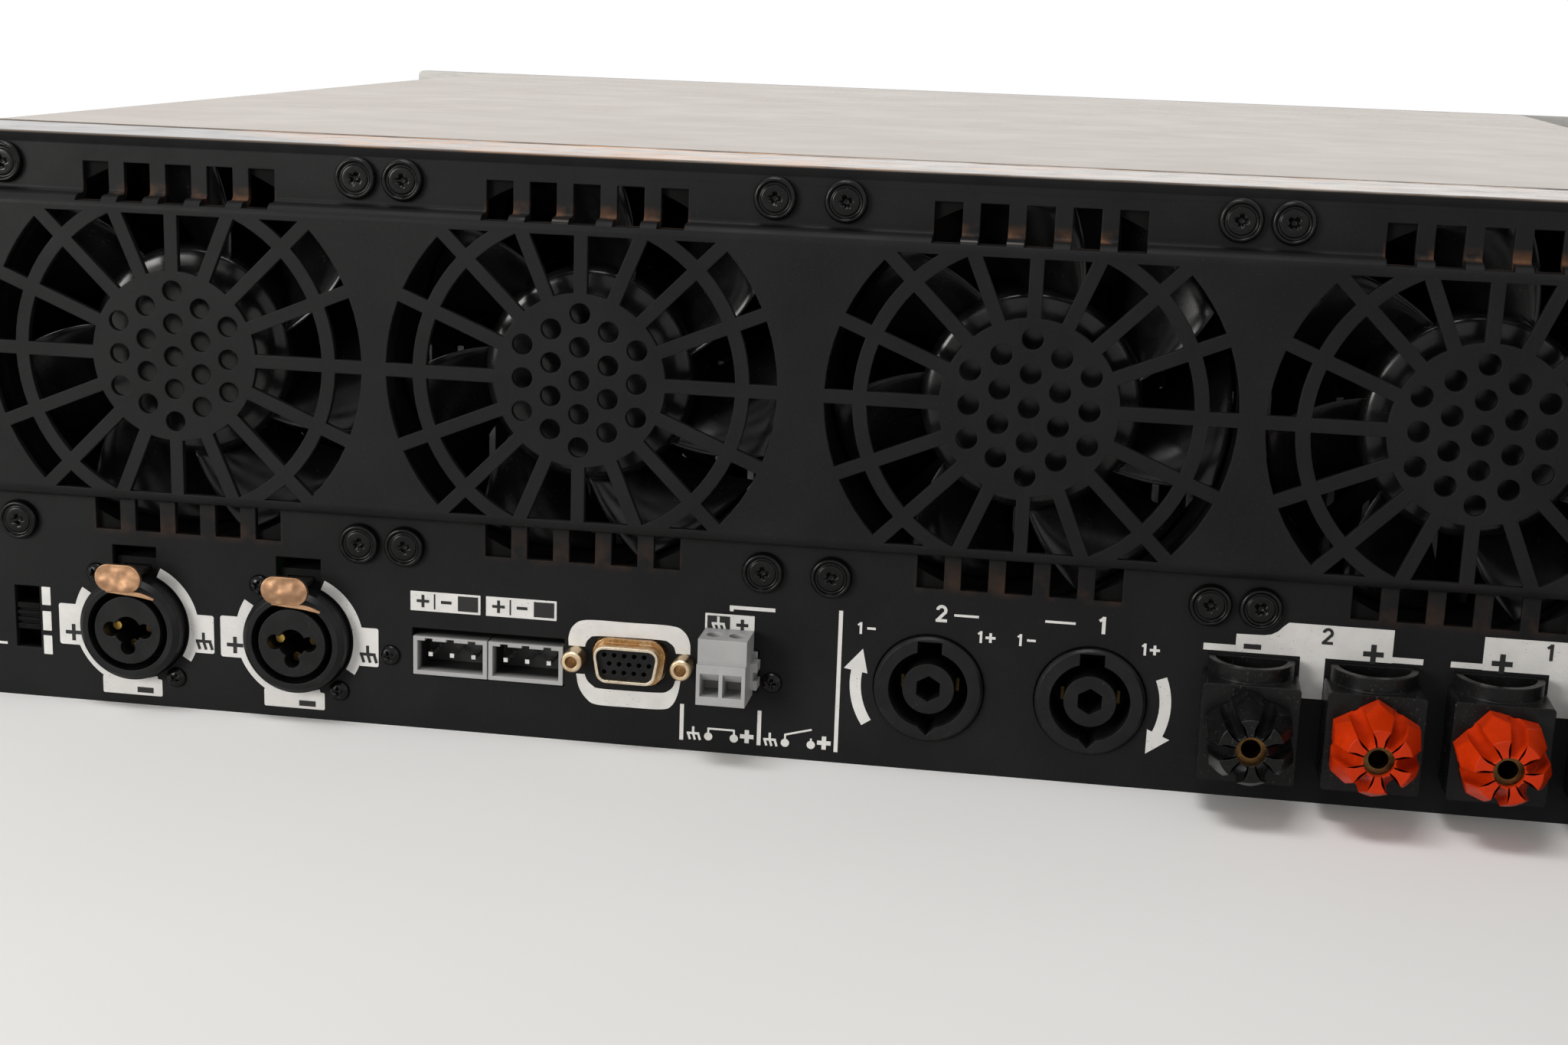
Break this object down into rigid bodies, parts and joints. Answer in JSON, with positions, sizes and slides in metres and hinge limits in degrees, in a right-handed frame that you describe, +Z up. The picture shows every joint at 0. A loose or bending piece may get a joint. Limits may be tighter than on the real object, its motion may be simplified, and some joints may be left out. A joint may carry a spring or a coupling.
{
  "type": "power amplifier",
  "caption": "Rack-mount audio power amplifier, three units high, with grilled fans in a raised rear plate above a row of input sockets, speaker sockets and binding posts.",
  "frame": {"origin": "middle of the bounding box's footprint, on the surface that the amplifier stands on", "axes": "+Z up, +Y out of the connector panel, so the rack panel faces -Y; +X to the left as seen from behind"},
  "size_m": [0.4826, 0.5174, 0.1325],
  "materials": {
    "black_coat": "fine-textured matte",
    "black_screw": "glossy black",
    "fan_plastic": "matte",
    "blade_plastic": "glossy",
    "black_plastic": "satin",
    "grey_plastic": "satin",
    "copper": "satin",
    "tin": "bright",
    "gilt": "satin",
    "brass": "bright",
    "red_knob": "glossy",
    "black_knob": "glossy",
    "aluminium": "extruded",
    "lens": "clear",
    "board": "satin",
    "sleeve": "glossy",
    "winding": "varnished"
  },
  "bodies": {
    "chassis": {"chassis_tray": "black_coat", "rear_panel": "black_coat", "top_cover": "black_coat", "rack_panel": "black_coat", "handle_left": "black_coat", "handle_right": "black_coat", "cover_screws": "black_screw", "fan_screws": "black_screw", "panel_screws": "black_screw", "fan_frame_1": "fan_plastic", "fan_frame_2": "fan_plastic", "fan_frame_3": "fan_plastic", "fan_frame_4": "fan_plastic", "input_jack_1": "black_plastic", "input_jack_2": "black_plastic", "mode_switch": "black_plastic", "input_headers": "grey_plastic", "header_pins": "tin", "data_shell": "gilt", "data_insert": "black_plastic", "data_jackscrews": "gilt", "control_header": "grey_plastic", "speaker_socket_1": "black_plastic", "speaker_socket_2": "black_plastic", "socket_contacts": "gilt", "post_block_1": "black_plastic", "post_block_2": "black_plastic", "post_block_3": "black_plastic", "post_block_4": "black_plastic", "post_studs": "brass", "mains_inlet": "black_plastic", "gain_controls": "aluminium", "rocker_frame": "black_plastic", "indicator_lights": "lens", "input_board": "board", "output_board": "board", "amplifier_boards": "board", "heat_sinks": "aluminium", "supply_board": "board", "capacitors": "sleeve", "transformer": "winding"},
    "fan_1": {"fan_rotor_1": "blade_plastic"},
    "fan_2": {"fan_rotor_2": "blade_plastic"},
    "fan_3": {"fan_rotor_3": "blade_plastic"},
    "fan_4": {"fan_rotor_4": "blade_plastic"},
    "latch_1": {"jack_latch_1": "copper"},
    "latch_2": {"jack_latch_2": "copper"},
    "mode_handle": {"mode_slider": "black_plastic"},
    "plug": {"control_plug": "grey_plastic"},
    "washer_1": {"post_washer_1": "brass"},
    "knob_1": {"post_knob_1": "black_knob"},
    "washer_2": {"post_washer_2": "brass"},
    "knob_2": {"post_knob_2": "red_knob"},
    "washer_3": {"post_washer_3": "brass"},
    "knob_3": {"post_knob_3": "red_knob"},
    "washer_4": {"post_washer_4": "brass"},
    "knob_4": {"post_knob_4": "black_knob"},
    "gain_1": {"gain_knob_1": "black_knob"},
    "gain_2": {"gain_knob_2": "black_knob"},
    "rocker": {"power_rocker": "black_plastic"}
  },
  "joints": [
    {"name": "fan_spin_1", "type": "hinge", "parent": "chassis", "child": "fan_1", "pos_m": [0.1494, 0.22025, 0.08425], "axis": [0, 1, 0], "continuous": true},
    {"name": "fan_spin_2", "type": "hinge", "parent": "chassis", "child": "fan_2", "pos_m": [0.0562, 0.22025, 0.08425], "axis": [0, 1, 0], "continuous": true},
    {"name": "fan_spin_3", "type": "hinge", "parent": "chassis", "child": "fan_3", "pos_m": [-0.0416, 0.22025, 0.08425], "axis": [0, 1, 0], "continuous": true},
    {"name": "fan_spin_4", "type": "hinge", "parent": "chassis", "child": "fan_4", "pos_m": [-0.1348, 0.22025, 0.08425], "axis": [0, 1, 0], "continuous": true},
    {"name": "latch_push_1", "type": "slide", "parent": "chassis", "child": "latch_1", "axis": [0, -1, 0], "range_m": [0, 0.0025], "stiffness_N_per_m": 200},
    {"name": "latch_push_2", "type": "slide", "parent": "chassis", "child": "latch_2", "axis": [0, -1, 0], "range_m": [0, 0.0025], "stiffness_N_per_m": 200},
    {"name": "mode_slide", "type": "slide", "parent": "chassis", "child": "mode_handle", "axis": [0, 0, 1], "range_m": [-0.004, 0.004]},
    {"name": "plug_pull", "type": "slide", "parent": "chassis", "child": "plug", "axis": [0, 1, 0], "range_m": [0, 0.008]},
    {"name": "post_travel_1", "type": "slide", "parent": "chassis", "child": "washer_1", "axis": [0, 1, 0], "range_m": [0, 0.005]},
    {"name": "post_turn_1", "type": "hinge", "parent": "washer_1", "child": "knob_1", "pos_m": [-0.0924, 0.25325, 0.0182], "axis": [0, 1, 0], "range_deg": [0, 1800]},
    {"name": "post_travel_2", "type": "slide", "parent": "chassis", "child": "washer_2", "axis": [0, 1, 0], "range_m": [0, 0.005]},
    {"name": "post_turn_2", "type": "hinge", "parent": "washer_2", "child": "knob_2", "pos_m": [-0.1183, 0.25325, 0.0182], "axis": [0, 1, 0], "range_deg": [0, 1800]},
    {"name": "post_travel_3", "type": "slide", "parent": "chassis", "child": "washer_3", "axis": [0, 1, 0], "range_m": [0, 0.005]},
    {"name": "post_turn_3", "type": "hinge", "parent": "washer_3", "child": "knob_3", "pos_m": [-0.1442, 0.25325, 0.0182], "axis": [0, 1, 0], "range_deg": [0, 1800]},
    {"name": "post_travel_4", "type": "slide", "parent": "chassis", "child": "washer_4", "axis": [0, 1, 0], "range_m": [0, 0.005]},
    {"name": "post_turn_4", "type": "hinge", "parent": "washer_4", "child": "knob_4", "pos_m": [-0.1701, 0.25325, 0.0182], "axis": [0, 1, 0], "range_deg": [0, 1800]},
    {"name": "gain_turn_1", "type": "hinge", "parent": "chassis", "child": "gain_1", "pos_m": [-0.028, -0.23075, 0.092], "axis": [0, -1, 0], "range_deg": [-150, 150]},
    {"name": "gain_turn_2", "type": "hinge", "parent": "chassis", "child": "gain_2", "pos_m": [0.028, -0.23075, 0.092], "axis": [0, -1, 0], "range_deg": [-150, 150]},
    {"name": "rocker_tilt", "type": "hinge", "parent": "chassis", "child": "rocker", "pos_m": [0, -0.21675, 0.038], "axis": [1, 0, 0], "range_deg": [-14, 0]}
  ],
  "couplings": [
    {"joint": "post_turn_1", "follows": "post_travel_1", "rad_per_m": 6283.2},
    {"joint": "post_turn_2", "follows": "post_travel_2", "rad_per_m": 6283.2},
    {"joint": "post_turn_3", "follows": "post_travel_3", "rad_per_m": 6283.2},
    {"joint": "post_turn_4", "follows": "post_travel_4", "rad_per_m": 6283.2}
  ]
}
